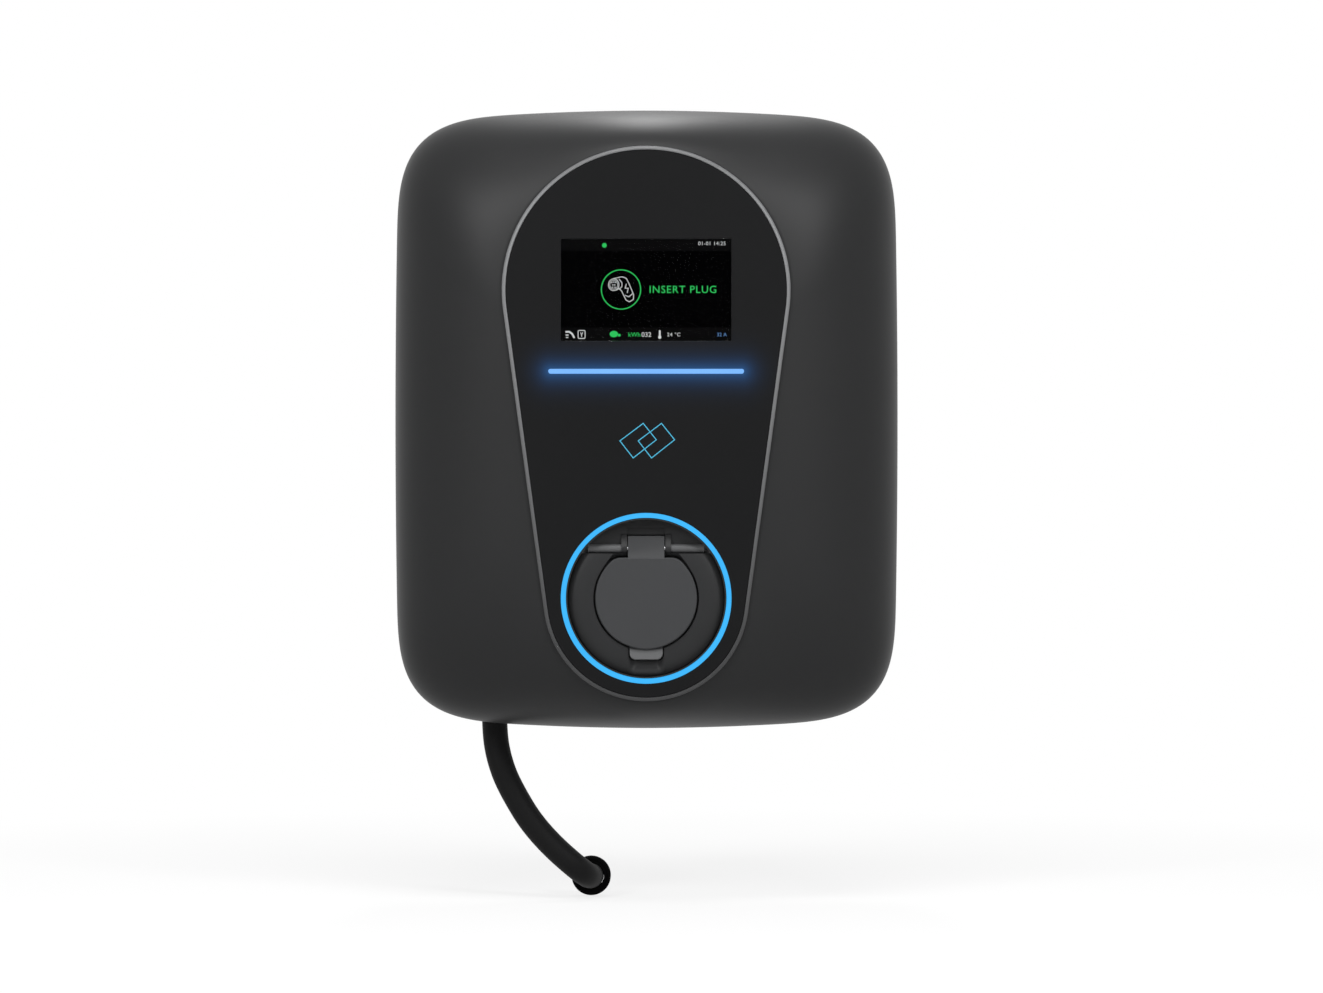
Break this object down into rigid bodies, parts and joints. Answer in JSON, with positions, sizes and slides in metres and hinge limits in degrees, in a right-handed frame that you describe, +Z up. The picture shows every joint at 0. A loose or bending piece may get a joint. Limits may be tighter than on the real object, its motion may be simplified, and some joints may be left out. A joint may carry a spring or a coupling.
{
  "type": "ev wallbox",
  "caption": "Wall-mounted car charger: domed dark cover, black fascia with display, light bar and lit ring, charging socket under a sprung flap, supply cable into the wall.",
  "frame": {"origin": "centre of the bracket's wall bolts, on the wall's plane", "axes": "+Y into the wall, front towards -Y, +Z up, +X to the right seen from the front"},
  "size_m": [0.3251, 0.1313, 0.512],
  "materials": {
    "cover_plastic": "satin dark grey moulding",
    "housing_plastic": "fine matt black moulding",
    "gasket_rubber": "soft black foam",
    "screw_steel": "zinc plated",
    "bracket_steel": "black powder coat",
    "trim_silver": "silver lacquered moulding",
    "panel_black": "satin black",
    "window_glass": "clear, flush",
    "bar_light": "milky blue light guide",
    "ring_light": "milky blue light guide",
    "display_module": "dark screen in a metal frame",
    "board_green": "solder mask",
    "board_white": "white solder mask",
    "dish_plastic": "fine matt moulding",
    "cap_plastic": "fine matt moulding",
    "pin_steel": "ground",
    "spring_steel": "bright wire",
    "socket_plastic": "matt black moulding",
    "contact_brass": "silver plated",
    "actuator_plastic": "matt black moulding",
    "relay_plastic": "glossy black case",
    "sensor_plastic": "blue potted ring",
    "terminal_grey": "grey moulding",
    "wire_rubber": "stranded wire, insulated",
    "gland_plastic": "matt black polyamide",
    "cable_rubber": "matt black sheath",
    "grommet_rubber": "matt black"
  },
  "bodies": {
    "wallbox": {"front_cover": "cover_plastic", "rear_housing": "housing_plastic", "housing_gasket": "gasket_rubber", "cover_screws": "screw_steel", "wall_bracket": "bracket_steel", "bracket_screws": "screw_steel", "fascia_trim": "trim_silver", "fascia_panel": "panel_black", "display_window": "window_glass", "light_bar": "bar_light", "led_ring": "ring_light", "lcd_module": "display_module", "front_board": "board_green", "front_board_screws": "screw_steel", "rfid_reader": "board_green", "rfid_screws": "screw_steel", "ring_led_board": "board_white", "socket_bezel": "dish_plastic", "bezel_screws": "screw_steel", "hinge_pin": "pin_steel", "socket_housing": "socket_plastic", "socket_screws": "screw_steel", "contact_insert": "socket_plastic", "socket_contacts": "contact_brass", "lock_actuator": "actuator_plastic", "lock_screws": "screw_steel", "main_board": "board_green", "main_board_screws": "screw_steel", "output_terminal": "socket_plastic", "power_relays": "relay_plastic", "power_module": "relay_plastic", "current_sensor": "sensor_plastic", "terminal_block": "terminal_grey", "terminal_screws": "screw_steel", "supply_cores": "wire_rubber", "socket_leads": "wire_rubber", "gland_body": "gland_plastic", "gland_locknut": "gland_plastic", "gland_nut": "gland_plastic", "gland_seal": "gasket_rubber", "cable_tail": "cable_rubber", "supply_cable": "cable_rubber", "wall_grommet": "grommet_rubber"},
    "flap": {"socket_cap": "cap_plastic", "cap_seal": "gasket_rubber", "cap_spring": "spring_steel"},
    "plug_lock": {"lock_pin": "pin_steel"}
  },
  "joints": [
    {"name": "cap_hinge", "type": "hinge", "parent": "wallbox", "child": "flap", "pos_m": [0, -0.122, -0.0829], "axis": [-1, 0, 0], "range_deg": [0, 100], "stiffness_Nm_per_rad": 0.03, "springref_deg": -34.38},
    {"name": "lock_slide", "type": "slide", "parent": "wallbox", "child": "plug_lock", "axis": [0, 0, 1], "range_m": [-0.006, 0]}
  ]
}
